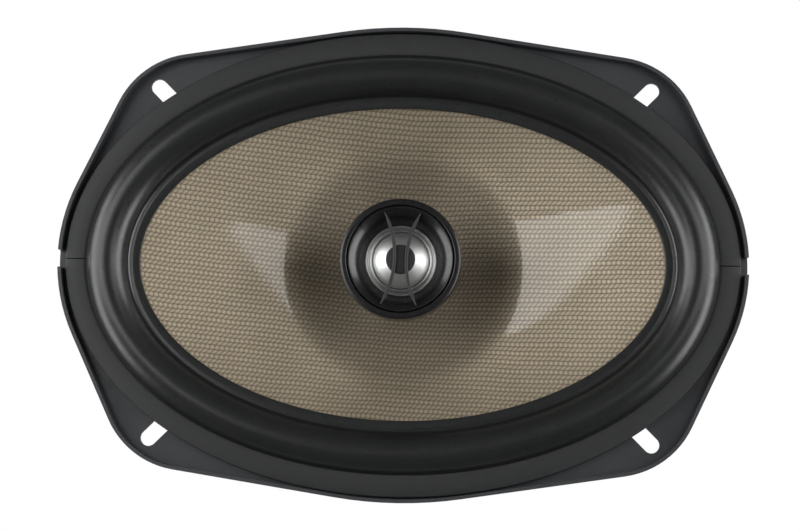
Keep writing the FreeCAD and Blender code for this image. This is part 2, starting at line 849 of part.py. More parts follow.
def tab_rivets():
    z0 = BOARD_TOP - BOARD_T
    rivets = []
    for side in (1, -1):
        x = side * TAB_X
        shank = cylinder(1.45, z0 - 0.3, BOARD_TOP + TAB_T + 0.3, x, TAB_Y)
        heads = [
            cylinder(2.3, BOARD_TOP + TAB_T, BOARD_TOP + TAB_T + 0.6, x, TAB_Y),
            cylinder(2.3, z0 - 0.6, z0, x, TAB_Y),
        ]
        rivets.append(shank.fuse(heads))
    return Part.makeCompound(rivets)


def board_rivets():
    z0 = BOARD_TOP - BOARD_T
    rivets = []
    for side in (1, -1):
        x, y = side * BOARD_RIVET[0], BOARD_RIVET[1]
        shank = cylinder(BOARD_RIVET_R, z0 - 0.3, SHOULDER_Z + 0.3, x, y)
        heads = [
            cylinder(2.1, z0 - 0.7, z0, x, y),
            cylinder(2.1, SHOULDER_Z, SHOULDER_Z + 0.5, x, y),
        ]
        rivets.append(shank.fuse(heads))
    return Part.makeCompound(rivets)


def board_eyelets():
    z0 = BOARD_TOP - BOARD_T
    eyelets = []
    for side in (1, -1):
        x, y = side * EYELET[0], EYELET[1]
        shank = cylinder(0.95, z0 - 0.25, BOARD_TOP + 0.25, x, y)
        eyelets.append(shank.fuse(cylinder(1.7, BOARD_TOP, BOARD_TOP + 0.4, x, y)))
    return Part.makeCompound(eyelets)


def capacitor_place():
    """Height and Y of the capacitor's axis, tucked between the drum and the board."""
    return BOARD_TOP - BOARD_T - 0.3 - CAP_R, -(DRUM_R + 0.6 + CAP_R)


def crossover_capacitor():
    z, y = capacitor_place()
    body = Part.makeCylinder(CAP_R, 2 * CAP_HALF, point(-CAP_HALF, y, z), Vector(1, 0, 0))
    return body.makeFillet(0.8, [e for e in body.Edges if e.Curve.TypeId == "Part::GeomCircle"])


def capacitor_leads():
    z, y = capacitor_place()
    leads = []
    for side in (1, -1):
        x, hole_y = side * CAP_LEAD[0], CAP_LEAD[1]
        route = [
            (side * (CAP_HALF + 0.05), y, z),
            (side * (CAP_HALF + 2.6), y, z),
            (x, hole_y, z + 1.0),
            (x, hole_y, BOARD_TOP + 0.5),
        ]
        leads.append(wire_solid(0.35, route, 1.5))
    return Part.makeCompound(leads)


def tinsel_lead():
    """Flexible braid on the +X side, from the tab's rivet, in through the basket window, to the cone."""
    x, y = CONE_EYELET
    z = cone_back(x, y) - 2.4
    start = BOARD_TOP + TAB_T + 0.6 + LEAD_R + 0.05
    route = [
        (TAB_X, TAB_Y - 0.3, start),
        (TAB_X, TAB_Y - 6.0, start + 0.8),
        (7.5, -70.5, -30.0),
        (7.0, -68.0, -24.0),
        (7.0, -57.0, -23.0),
        (7.5, -44.0, -26.5),
        (x, y - 4.0, z - 3.2),
        (x, y - 0.2, z),
    ]
    return wire_solid(LEAD_R, route, 60.0)


# ---- export ------------------------------------------------------------------------------

PARTS = {
    "basket": basket,
    "front_gasket_upper": lambda: front_gasket(1),
    "front_gasket_lower": lambda: front_gasket(-1),
    "surround": surround,
    "cone": cone,
    "voice_coil_former": voice_coil_former,
    "voice_coil_winding": voice_coil_winding,
    "coil_wires": coil_wires,
    "cone_eyelets": cone_eyelets,
    "spider": spider,
    "top_plate": top_plate,
    "magnet": magnet,
    "yoke": yoke,
    "motor_rivets": motor_rivets,
    "tweeter_post": tweeter_post,
    "post_washer": post_washer,
    "post_nut": post_nut,
    "tweeter_housing": tweeter_housing,
    "tweeter_bezel": tweeter_bezel,
    "tweeter_waveguide": tweeter_waveguide,
    "phase_bridge": phase_bridge,
    "tweeter_dome": tweeter_dome,
    "tweeter_suspension": tweeter_suspension,
    "tweeter_cup": tweeter_cup,
    "tweeter_magnet": tweeter_magnet,
    "tweeter_pole_disc": tweeter_pole_disc,
    "tweeter_coil_former": tweeter_coil_former,
    "tweeter_coil": tweeter_coil,
    "tweeter_wire_positive": tweeter_wire,
    "tweeter_wire_negative": lambda: mirrored(tweeter_wire()),
    "terminal_board": terminal_board,
    "positive_tab": lambda: terminal_tab(1, TAB_WIDTHS[0]),
    "negative_tab": lambda: terminal_tab(-1, TAB_WIDTHS[1]),
    "tab_rivets": tab_rivets,
    "board_rivets": board_rivets,
    "board_eyelets": board_eyelets,
    "crossover_capacitor": crossover_capacitor,
    "capacitor_leads": capacitor_leads,
    "tinsel_lead_positive": tinsel_lead,
    "tinsel_lead_negative": lambda: mirrored(tinsel_lead()),
}

for name, make in PARTS.items():
    shape = make()
    print(name, "valid" if shape.isValid() else "NOT VALID", len(shape.Solids), round(shape.Volume, 2))
    shape.exportStep("parts/" + name + ".step")
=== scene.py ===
"""The looks of an oval coaxial car speaker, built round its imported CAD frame.

Lengths are in millimetres, as in the CAD, and turn into metres where a mesh is made.
+Z is the way the speaker fires, +X its long axis.
"""

import math

import bpy
import numpy as np
from mathutils import Matrix, Vector


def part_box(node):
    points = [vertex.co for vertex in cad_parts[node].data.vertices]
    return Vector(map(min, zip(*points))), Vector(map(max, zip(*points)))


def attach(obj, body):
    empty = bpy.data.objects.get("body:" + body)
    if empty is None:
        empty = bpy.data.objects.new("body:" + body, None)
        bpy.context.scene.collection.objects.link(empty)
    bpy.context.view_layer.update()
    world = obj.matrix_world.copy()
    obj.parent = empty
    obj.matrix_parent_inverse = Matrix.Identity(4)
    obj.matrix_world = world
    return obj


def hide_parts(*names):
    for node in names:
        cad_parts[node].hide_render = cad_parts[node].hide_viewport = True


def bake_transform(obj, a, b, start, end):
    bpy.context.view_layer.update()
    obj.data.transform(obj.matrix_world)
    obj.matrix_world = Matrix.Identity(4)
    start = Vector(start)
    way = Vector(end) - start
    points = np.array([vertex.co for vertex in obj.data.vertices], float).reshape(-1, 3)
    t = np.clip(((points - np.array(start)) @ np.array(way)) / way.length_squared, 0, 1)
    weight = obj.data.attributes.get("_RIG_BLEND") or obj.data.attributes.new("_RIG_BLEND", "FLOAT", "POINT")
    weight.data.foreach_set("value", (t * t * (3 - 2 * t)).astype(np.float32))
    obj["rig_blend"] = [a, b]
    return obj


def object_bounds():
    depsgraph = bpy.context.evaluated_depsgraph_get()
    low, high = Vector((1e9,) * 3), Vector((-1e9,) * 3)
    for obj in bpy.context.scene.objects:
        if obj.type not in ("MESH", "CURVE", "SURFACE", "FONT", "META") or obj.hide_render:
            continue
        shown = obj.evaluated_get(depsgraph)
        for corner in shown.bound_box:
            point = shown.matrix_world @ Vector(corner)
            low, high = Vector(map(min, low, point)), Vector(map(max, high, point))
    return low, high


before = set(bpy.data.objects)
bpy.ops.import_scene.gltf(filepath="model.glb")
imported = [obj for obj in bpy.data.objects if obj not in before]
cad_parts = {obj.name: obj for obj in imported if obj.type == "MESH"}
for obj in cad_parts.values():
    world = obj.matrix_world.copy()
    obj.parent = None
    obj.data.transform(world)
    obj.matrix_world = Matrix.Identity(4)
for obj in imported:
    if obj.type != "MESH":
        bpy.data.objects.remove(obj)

cad_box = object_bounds()

MM = 0.001
FRAME_BODY, CONE_BODY, DOME_BODY = "frame_body", "cone_body", "tweeter_diaphragm"


def low_high(node):
    """The node's lowest and highest corner, in millimetres."""
    low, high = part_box(node)
    return low / MM, high / MM


# ---- sizes, from the frame ---------------------------------------------------------------

SURROUND_LOW, SURROUND_HIGH = low_high("surround")
CONE_LOW, CONE_HIGH = low_high("cone")
BEZEL_LOW, BEZEL_HIGH = low_high("tweeter_bezel")
GUIDE_LOW, GUIDE_HIGH = low_high("tweeter_waveguide")
DOME_LOW, DOME_HIGH = low_high("tweeter_dome")
HOUSING_LOW, HOUSING_HIGH = low_high("tweeter_housing")
SPIDER_LOW, SPIDER_HIGH = low_high("spider")
FORMER_R = low_high("voice_coil_former")[1].x
MAGNET_LOW, MAGNET_HIGH = low_high("magnet")
YOKE_LOW, YOKE_HIGH = low_high("yoke")
GASKET_LOW, GASKET_HIGH = low_high("front_gasket_upper")
BOARD_LOW, BOARD_HIGH = low_high("terminal_board")
CAP_LOW, CAP_HIGH = low_high("crossover_capacitor")

RUBBER = 0.8  # thickness of the surround
LAND_OUT, LAND_IN = 12.2, 11.5  # from the middle of the roll
LAND_Z = SURROUND_LOW.z
ROLL_OUTER_R = SURROUND_HIGH.z - LAND_Z
ROLL_INNER_R = ROLL_OUTER_R - RUBBER
ROLL_PATH = (SURROUND_HIGH.x - LAND_OUT, SURROUND_HIGH.y - LAND_OUT)

CONE_RIM = (CONE_HIGH.x, CONE_HIGH.y)
CONE_TOP = CONE_HIGH.z
CONE_EDGE = (90.5, 54.9)  # end of the slope; a flat rim goes on to CONE_RIM
CONE_WALL = 0.8
NECK_R = 16.4
NECK_Z = -27.0
CREASE_R = 41.5
CREASE_Z = -11.0
GASKET_INNER = (109.4, 73.3)
OVAL_SEGMENTS = 384


# ---- meshes ------------------------------------------------------------------------------


def add_object(name, points, faces, body, material, sharp=35.0):
    """A mesh from points in millimetres, smooth but for edges sharper than the given angle."""
    mesh = bpy.data.meshes.new(name)
    mesh.from_pydata([tuple(float(c) * MM for c in p) for p in points], [], faces)
    mesh.update()
    mesh.shade_smooth()
    mesh.set_sharp_from_angle(angle=math.radians(sharp))
    obj = bpy.data.objects.new(name, mesh)
    bpy.context.scene.collection.objects.link(obj)
    mesh.materials.append(material)
    if body:
        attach(obj, body)
    return obj


def strip_faces(rows, columns, wrap_rows=True, wrap_columns=True):
    """Quads over a grid of points stored row by row."""
    faces = []
    for i in range(rows if wrap_rows else rows - 1):
        for j in range(columns if wrap_columns else columns - 1):
            a, b = i * columns, ((i + 1) % rows) * columns
            k = (j + 1) % columns
            faces.append((a + j, b + j, b + k, a + k))
    return faces


def rounded(corners, radius, steps=4):
    """The corners of a closed outline replaced by short arcs. A radius can be given per corner."""
    count = len(corners)
    radii = radius if isinstance(radius, (list, tuple)) else [radius] * count
    points = []
    for i, here in enumerate(corners):
        here = Vector(here)
        before, after = Vector(corners[i - 1]) - here, Vector(corners[(i + 1) % count]) - here
        r = min(radii[i], 0.45 * before.length, 0.45 * after.length)
        if r <= 0:
            points.append(tuple(here))
            continue
        start, end = here + before.normalized() * r, here + after.normalized() * r
        for k in range(steps + 1):
            t = k / steps
            points.append(tuple(start * (1 - t) ** 2 + here * 2 * t * (1 - t) + end * t**2))
    return points


def lathe(name, profile, body, material, segments=160, sharp=35.0):
    """A closed (radius, z) outline turned about the Z axis."""
    points = []
    for i in range(segments):
        angle = 2 * math.pi * i / segments
        c, s = math.cos(angle), math.sin(angle)
        points += [(r * c, r * s, z) for r, z in profile]
    faces = strip_faces(segments, len(profile))
    return add_object(name, points, faces, body, material, sharp)


def cap_lathe(name, profile, body, material, segments=128, sharp=35.0):
    """An open (radius, z) outline that starts and ends on the axis, turned about Z."""
    inner = profile[1:-1]
    points = []
    for i in range(segments):
        angle = 2 * math.pi * i / segments
        points += [(r * math.cos(angle), r * math.sin(angle), z) for r, z in inner]
    faces = strip_faces(segments, len(inner), True, False)
    first, last = len(points), len(points) + 1
    points += [(0, 0, profile[0][1]), (0, 0, profile[-1][1])]
    for i in range(segments):
        a, b = i * len(inner), ((i + 1) % segments) * len(inner)
        faces.append((first, b, a))
        faces.append((last, a + len(inner) - 1, b + len(inner) - 1))
    return add_object(name, points, faces, body, material, sharp)


def oval_sweep(name, path, profile, body, material):
    """A closed (offset, z) outline carried square to an ellipse."""
    a, b = path
    points = []
    for i in range(OVAL_SEGMENTS):
        t = 2 * math.pi * i / OVAL_SEGMENTS
        x, y = a * math.cos(t), b * math.sin(t)
        nx, ny = b * math.cos(t), a * math.sin(t)
        size = math.hypot(nx, ny)
        points += [(x + o * nx / size, y + o * ny / size, z) for o, z in profile]
    return add_object(name, points, strip_faces(OVAL_SEGMENTS, len(profile)), body, material)


def oval_stack(name, stations, body, material, sharp):
    """A closed loop of (half length, half width, z) ovals."""
    points = []
    for i in range(OVAL_SEGMENTS):
        t = 2 * math.pi * i / OVAL_SEGMENTS
        points += [(a * math.cos(t), b * math.sin(t), z) for a, b, z in stations]
    return add_object(name, points, strip_faces(OVAL_SEGMENTS, len(stations)), body, material, sharp)


def bent_line(route, bend, spacing):
    """Points along the route, its corners rounded to radius bend, at most spacing apart."""
    corners = [Vector(p) for p in route]
    stops = [corners[0]]
    for before, corner, after in zip(corners, corners[1:], corners[2:]):
        back, ahead = before - corner, after - corner
        half = back.angle(ahead) / 2
        reach = min(bend / math.tan(half), 0.45 * back.length, 0.45 * ahead.length)
        entry, leave = corner + back.normalized() * reach, corner + ahead.normalized() * reach
        r = reach * math.tan(half)
        centre = corner + (back.normalized() + ahead.normalized()).normalized() * (r / math.sin(half))
        turn = math.pi - 2 * half
        count = max(4, math.ceil(r * turn / spacing))
        for k in range(count + 1):
            first, last = math.sin(turn * (1 - k / count)), math.sin(turn * k / count)
            stops.append(centre + ((entry - centre) * first + (leave - centre) * last) / math.sin(turn))
    stops.append(corners[-1])
    line = [stops[0]]
    for stop in stops[1:]:
        gap = stop - line[-1]
        if gap.length < 1e-4:
            continue
        count = max(1, math.ceil(gap.length / spacing))
        start = line[-1]
        line += [start + gap * (k + 1) / count for k in range(count)]
    return line


def tube_points(line, radius, sides, phase=0.0, swirl=0.0, offset=0.0):
    """Rings of points round a line. With an offset the tube winds round it, swirl radians a mm."""
    line = [Vector(p) for p in line]
    points, length, normal = [], 0.0, None
    for i, p in enumerate(line):
        ahead = (line[min(i + 1, len(line) - 1)] - line[max(i - 1, 0)]).normalized()
        if normal is None:
            normal = ahead.orthogonal().normalized()
        normal = (normal - ahead * normal.dot(ahead)).normalized()
        side = ahead.cross(normal)
        if i:
            length += (p - line[i - 1]).length
        turn = phase + swirl * length
        centre = p + (normal * math.cos(turn) + side * math.sin(turn)) * offset
        for k in range(sides):
            a = 2 * math.pi * k / sides
            points.append(centre + (normal * math.cos(a) + side * math.sin(a)) * radius)
    return points


def tube_faces(rings, sides, base=0):
    """Faces of a tube made of rings of points, with a cap at each end."""
    faces = [tuple(base + v for v in f) for f in strip_faces(rings, sides, False, True)]
    faces.append(tuple(base + k for k in range(sides)))
    faces.append(tuple(base + (rings - 1) * sides + k for k in reversed(range(sides))))
    return faces


def tube(name, route, radius, bend, body, material):
    """A round wire along a route."""
    sides = 14
    line = bent_line(route, bend, 1.5)
    points = tube_points(line, radius, sides)
    return add_object(name, points, tube_faces(len(line), sides), body, material, 60)


def braid(name, route, radius, bend, material):
    """Thin strands wound round each other along a route."""
    strands, sides = 3, 8
    line = bent_line(route, bend, 0.3)
    points, faces = [], []
    for s in range(strands):
        base = len(points)
        phase = 2 * math.pi * s / strands
        points += tube_points(line, radius * 0.52, sides, phase, swirl=2.4, offset=radius * 0.5)
        faces += tube_faces(len(line), sides, base)
    return add_object(name, points, faces, None, material, 60)


def give_blend(obj, weights, start, end):
    """Bends the piece between the frame and the cone, with the given share per point."""
    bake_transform(obj, FRAME_BODY, CONE_BODY, start, end)
    layer = obj.data.attributes["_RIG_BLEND"]
    layer.data.foreach_set("value", np.asarray(weights, np.float32))
    return obj


def ease(t):
    """0 to 1 with a gentle start and end."""
    t = min(1.0, max(0.0, t))
    return t * t * (3 - 2 * t)


# ---- materials ---------------------------------------------------------------------------


class Paint:
    """A Principled material with short calls for the nodes used here. Places are in mm."""

    def __init__(self, name, **values):
        self.material = bpy.data.materials.new(name)
        self.material.use_nodes = True
        self.tree = self.material.node_tree
        self.tree.nodes.clear()
        self.shader = self.tree.nodes.new("ShaderNodeBsdfPrincipled")
        out = self.tree.nodes.new("ShaderNodeOutputMaterial")
        self.tree.links.new(self.shader.outputs[0], out.inputs[0])
        for key, value in values.items():
            self.put(self.socket(key), value)
        coordinates = self.tree.nodes.new("ShaderNodeTexCoord")
        scaled = self.tree.nodes.new("ShaderNodeVectorMath")
        scaled.operation = "SCALE"
        self.tree.links.new(coordinates.outputs["Object"], scaled.inputs[0])
        scaled.inputs["Scale"].default_value = 1 / MM
        self.place = scaled.outputs[0]

    def socket(self, key):
        return self.shader.inputs[key.replace("_", " ").title().replace("Ior", "IOR")]

    def put(self, socket, value):
        if isinstance(value, bpy.types.NodeSocket):
            self.tree.links.new(value, socket)
        elif isinstance(value, (tuple, list)) and len(value) == 3 and socket.type == "RGBA":
            socket.default_value = (*value, 1.0)
        else:
            socket.default_value = value

    def stretched(self, x, y, z):
        node = self.tree.nodes.new("ShaderNodeVectorMath")
        node.operation = "MULTIPLY"
        self.put(node.inputs[0], self.place)
        node.inputs[1].default_value = (x, y, z)
        return node.outputs[0]

    def noise(self, scale, detail=3.0, rough=0.55, place=None):
        node = self.tree.nodes.new("ShaderNodeTexNoise")
        self.put(node.inputs["Vector"], place or self.place)
        node.inputs["Scale"].default_value = scale
        node.inputs["Detail"].default_value = detail
        node.inputs["Roughness"].default_value = rough
        return node.outputs["Fac"]

    def math(self, operation, a, b=0.0, c=0.0):
        node = self.tree.nodes.new("ShaderNodeMath")
        node.operation = operation
        for socket, value in zip(node.inputs, (a, b, c)):
            self.put(socket, value)
        return node.outputs[0]

    def radius(self, x, y):
        """Distance from the driver's axis."""
        return self.math("SQRT", self.math("MULTIPLY_ADD", x, x, self.math("MULTIPLY", y, y)))

    def parts(self):
        node = self.tree.nodes.new("ShaderNodeSeparateXYZ")
        self.put(node.inputs[0], self.place)
        return node.outputs

    def spread(self, value, low, high, to_low=0.0, to_high=1.0):
        node = self.tree.nodes.new("ShaderNodeMapRange")
        for key, v in zip(("Value", "From Min", "From Max", "To Min", "To Max"),
                          (value, low, high, to_low, to_high)):
            self.put(node.inputs[key], v)
        return node.outputs[0]

    def mix(self, share, a, b):
        node = self.tree.nodes.new("ShaderNodeMix")
        node.data_type = "RGBA"
        self.put(node.inputs["Factor"], share)
        self.put(node.inputs[6], a)
        self.put(node.inputs[7], b)
        return node.outputs[2]

    def bump(self, height, depth, strength=1.0, under=None):
        """depth is in millimetres."""
        node = self.tree.nodes.new("ShaderNodeBump")
        node.inputs["Strength"].default_value = strength
        node.inputs["Distance"].default_value = depth * MM
        self.put(node.inputs["Height"], height)
        if under:
            self.put(node.inputs["Normal"], under)
        return node.outputs[0]

    def use(self, **sockets):
        for key, value in sockets.items():
            self.put(self.socket(key), value)
        return self.material


def frame_paint():
    """Satin black coat on pressed steel: fine orange peel, dust specks, uneven sheen."""
    p = Paint("frame_paint", specular_ior_level=0.5)
    cloud = p.noise(0.05, 4)
    grain = p.noise(3.2, 2)
    speck = p.spread(p.noise(1.7, 1), 0.70, 0.80)
    colour = p.mix(cloud, (0.018, 0.0195, 0.0225), (0.031, 0.033, 0.037))
    colour = p.mix(speck, colour, (0.09, 0.09, 0.09))
    rough = p.spread(p.noise(0.35, 4), 0.3, 0.7, 0.42, 0.54)
    normal = p.bump(grain, 0.05, 0.35, p.bump(p.noise(0.5, 2), 0.2, 0.12))
    return p.use(base_color=colour, roughness=rough, normal=normal)


def gasket_paint():
    """Black fibre board: matt, with short pressed fibres."""
    p = Paint("gasket_paint", specular_ior_level=0.5)
    fibres = p.noise(1.4, 5, 0.7, p.stretched(0.35, 1.6, 1.0))
    cross = p.noise(1.6, 5, 0.7, p.stretched(1.7, 0.4, 1.0))
    mixed = p.math("MULTIPLY", fibres, cross)
    colour = p.mix(p.spread(mixed, 0.12, 0.45), (0.0045, 0.005, 0.0056), (0.016, 0.017, 0.0185))
    rough = p.spread(mixed, 0.1, 0.4, 0.46, 0.60)
    return p.use(base_color=colour, roughness=rough, normal=p.bump(mixed, 0.12, 0.5))


def rubber_paint():
    """Butyl rubber: satin skin with faint bloom, dust and moulding ripple."""
    p = Paint("rubber_paint", specular_ior_level=0.5)
    bloom = p.noise(0.09, 4)
    dust = p.spread(p.noise(2.6, 1), 0.69, 0.80)
    colour = p.mix(bloom, (0.007, 0.0075, 0.008), (0.013, 0.0135, 0.014))
    colour = p.mix(p.math("MULTIPLY", dust, 0.25), colour, (0.10, 0.10, 0.10))
    rough = p.spread(p.noise(0.7, 4), 0.3, 0.7, 0.27, 0.35)
    normal = p.bump(p.noise(5.0, 2), 0.03, 0.30, p.bump(p.noise(0.25, 2), 0.2, 0.10))
    return p.use(base_color=colour, roughness=rough, normal=normal)


WEAVE_ROW, WEAVE_BEAD = 1.59, 1.64  # spacing of the rows along Y, and of the beads along X
WEAVE_BOW, WEAVE_LEAN = -0.000283, 0.057  # rows curve up at both ends, and fall along +X


def weave_paint():
    """Glass cloth under clear resin: rows of beads, every other row slanted and a little lower.

    The funnel inside the crease is mixed darker with painted shade, as in the photo.
    """
    p = Paint("weave_paint", metallic=0.55, coat_weight=0.75, coat_roughness=0.03)
    x, y, _ = p.parts()
    bowed = p.math("MULTIPLY_ADD", p.math("MULTIPLY", x, x), WEAVE_BOW, y)
    wander = p.spread(p.noise(0.03, 2), 0.0, 1.0, -1.0, 1.0)
    lifted = p.math("ADD", p.math("MULTIPLY_ADD", x, WEAVE_LEAN, bowed), wander)
    row = p.math("DIVIDE", lifted, WEAVE_ROW)
    odd = p.math("MODULO", p.math("ABSOLUTE", p.math("FLOOR", row)), 2.0)
    slant = p.math("MULTIPLY", p.math("MULTIPLY_ADD", p.math("FRACT", row), -0.8, 0.9), odd)
    along = p.math("ADD", p.math("DIVIDE", x, WEAVE_BEAD), slant)
    across = p.math("ABSOLUTE", p.math("SINE", p.math("MULTIPLY", row, math.pi)))
    beads = p.math("ABSOLUTE", p.math("SINE", p.math("MULTIPLY", along, math.pi)))
    bead = p.math("MULTIPLY", p.math("POWER", across, 0.6), p.math("MULTIPLY_ADD", beads, 0.78, 0.22))
    height = p.math("MULTIPLY", bead, p.math("MULTIPLY_ADD", odd, -0.10, 1.0))
    fibre = p.noise(2.2, 3, 0.6, p.stretched(0.5, 3.0, 1.0))
    height = p.math("MULTIPLY_ADD", fibre, 0.22, height)
    tone = p.spread(p.noise(0.04, 3), 0.3, 0.7, 0.0, 1.0)
    light = p.mix(tone, (0.44, 0.37, 0.262), (0.51, 0.433, 0.312))
    dark = p.mix(tone, (0.105, 0.085, 0.061), (0.13, 0.106, 0.078))
    # painted shade: inside the crease the colour is mixed up to a third of the way to near black, for the
    # dark parts behind the cone
    funnel_shade = p.spread(p.radius(x, y), CREASE_R - 5, CREASE_R + 3, 0.34, 0.0)
    colour = p.mix(funnel_shade, p.mix(p.spread(height, 0.05, 1.0), dark, light), (0.035, 0.03, 0.026))
    rough = p.spread(height, 0.0, 1.0, 0.60, 0.50)
    normal = p.bump(height, 0.20, 0.5)
    coat_normal = p.bump(height, 0.007, 0.5)
    return p.use(base_color=colour, roughness=rough, normal=normal, coat_normal=coat_normal)


def film_paint():
    """Brown polyimide film, faintly streaked round the cylinder."""
    p = Paint("film_paint", coat_weight=0.3, coat_roughness=0.2)
    streak = p.noise(0.8, 3, 0.6, p.stretched(0.3, 0.3, 5.0))
    colour = p.mix(streak, (0.050, 0.022, 0.008), (0.105, 0.048, 0.016))
    return p.use(base_color=colour, roughness=p.spread(streak, 0.3, 0.7, 0.30, 0.45),
                 normal=p.bump(streak, 0.03, 0.4))


def wound_paint():
    """Enamelled copper wire laid turn by turn, with painted highlight on each turn's crest and painted shade
    between turns.
    """
    p = Paint("copper_paint", metallic=1.0)
    pitch = 0.35
    # crest and groove colours of the painted highlight and shade on each turn
    light, dark = (0.72, 0.30, 0.14), (0.25, 0.07, 0.03)
    _, _, z = p.parts()
    turn = p.math("ABSOLUTE", p.math("SINE", p.math("MULTIPLY", z, math.pi / pitch)))
    wear = p.noise(0.6, 3)
    # each turn painted light on its crest and dark in the groove to the next; wear varies how strong this is
    colour = p.mix(p.math("MULTIPLY", turn, p.spread(wear, 0.2, 0.8, 0.7, 1.0)), dark, light)
    return p.use(base_color=colour, roughness=p.spread(wear, 0.3, 0.7, 0.28, 0.42),
                 normal=p.bump(turn, 0.12, 0.8))


def moulded_paint():
    """Black moulding: fine spark-eroded grain under a slightly uneven sheen."""
    p = Paint("moulded_paint", specular_ior_level=0.5)
    base = 0.010
    cloud = p.noise(0.18, 3)
    colour = p.mix(cloud, (base, base, base * 1.05), (base * 1.6, base * 1.6, base * 1.7))
    rough = p.spread(p.noise(0.9, 4), 0.3, 0.7, 0.42, 0.55)
    normal = p.bump(p.noise(6.0, 2), 0.04, 0.4)
    return p.use(base_color=colour, roughness=rough, normal=normal)


def gloss_paint():
    """Gloss black moulding with hairline scratches and a little dust."""
    p = Paint("gloss_paint", specular_ior_level=0.4, coat_weight=0.2, coat_roughness=0.15)
    hair = p.spread(p.noise(2.0, 2, 0.5, p.stretched(0.2, 4.0, 1.0)), 0.62, 0.72)
    dust = p.spread(p.noise(3.5, 1), 0.70, 0.80)
    colour = p.mix(p.math("MULTIPLY", dust, 0.25), (0.005, 0.005, 0.0055), (0.10, 0.10, 0.10))
    sheen = p.spread(p.noise(0.5, 3), 0.3, 0.7, 0.26, 0.34)
    rough = p.math("ADD", sheen, p.math("MULTIPLY", hair, 0.08))
    return p.use(base_color=colour, roughness=rough, normal=p.bump(p.noise(1.2, 2), 0.03, 0.2))


def metal_paint(name, light, dark, rough_low, rough_high, scale=0.5, depth=0.02):
    """Bare or plated metal: patchy tone and roughness, fine surface grain."""
    p = Paint(name, metallic=1.0)
    patch = p.noise(scale, 4, 0.6)
    colour = p.mix(p.spread(patch, 0.3, 0.7), dark, light)
    rough = p.spread(p.noise(scale * 4, 3), 0.3, 0.7, rough_low, rough_high)
    return p.use(base_color=colour, roughness=rough, normal=p.bump(p.noise(4.0, 3), depth, 0.35))


def turned_paint(name, light, dark, rough_low, rough_high):
    """Metal with fine rings left by spinning, about the driver's axis."""
    p = Paint(name, metallic=1.0)
    pitch = 0.6
    x, y, _ = p.parts()
    ring = p.math("SINE", p.math("MULTIPLY", p.radius(x, y), 2 * math.pi / pitch))
    patch = p.noise(0.7, 4)
    ring = p.math("MULTIPLY", ring, p.spread(patch, 0.2, 0.8, 0.4, 1.0))
    colour = p.mix(patch, dark, light)
    rough = p.spread(p.noise(1.5, 3), 0.3, 0.7, rough_low, rough_high)
    return p.use(base_color=colour, roughness=rough, normal=p.bump(ring, 0.01, 0.4))


def ferrite_paint():
    """Sintered ferrite: dark grey, gritty, with paler ground marks."""
    p = Paint("ferrite_paint", specular_ior_level=0.4)
    grit = p.noise(2.2, 5, 0.7)
    patch = p.noise(0.12, 4)
    colour = p.mix(p.math("MULTIPLY", grit, patch), (0.030, 0.029, 0.029), (0.105, 0.102, 0.10))
    return p.use(base_color=colour, roughness=p.spread(grit, 0.3, 0.7, 0.5, 0.75),
                 normal=p.bump(grit, 0.15, 0.55))


def cloth_paint():
    """Plain-woven cloth, stiffened with resin."""
    p = Paint("spider_paint", specular_ior_level=0.3)
    pitch = 0.5
    light, dark = (0.50, 0.31, 0.10), (0.26, 0.14, 0.035)
    x, y, _ = p.parts()
    warp = p.math("SINE", p.math("MULTIPLY", x, 2 * math.pi / pitch))
    weft = p.math("SINE", p.math("MULTIPLY", y, 2 * math.pi / pitch))
    weave = p.math("MULTIPLY_ADD", p.math("MULTIPLY", warp, weft), 0.5, 0.5)
    tone = p.noise(0.25, 4)
    share = p.math("MULTIPLY_ADD", weave, 0.6, p.math("MULTIPLY", tone, 0.4))
    return p.use(base_color=p.mix(share, dark, light), roughness=p.spread(tone, 0.3, 0.7, 0.6, 0.8),
                 normal=p.bump(weave, 0.10, 0.6))


def board_paint():
    """Phenolic board: brown, with pressed paper fibres running one way."""
    p = Paint("board_paint", specular_ior_level=0.45)
    fibre = p.noise(1.2, 5, 0.65, p.stretched(0.3, 2.0, 2.0))
    colour = p.mix(fibre, (0.085, 0.034, 0.014), (0.20, 0.09, 0.04))
    return p.use(base_color=colour, roughness=p.spread(fibre, 0.3, 0.7, 0.35, 0.55),
                 normal=p.bump(fibre, 0.05, 0.4))


def sheath_paint(name, colour, dark):
    """Soft PVC: slightly mottled, satin."""
    p = Paint(name, specular_ior_level=0.45)
    tone = p.noise(0.8, 3)
    return p.use(base_color=p.mix(tone, dark, colour), roughness=p.spread(tone, 0.3, 0.7, 0.32, 0.48),
                 normal=p.bump(p.noise(2.5, 2), 0.04, 0.3))


def glue_paint():
    """Dark contact adhesive: glossy and lumpy."""
    p = Paint("glue_paint", specular_ior_level=0.5, coat_weight=0.5, coat_roughness=0.1)
    lump = p.noise(0.7, 3)
    return p.use(base_color=p.mix(lump, (0.010, 0.009, 0.008), (0.030, 0.027, 0.024)),
                 roughness=p.spread(lump, 0.3, 0.7, 0.2, 0.4), normal=p.bump(lump, 0.4, 0.6))


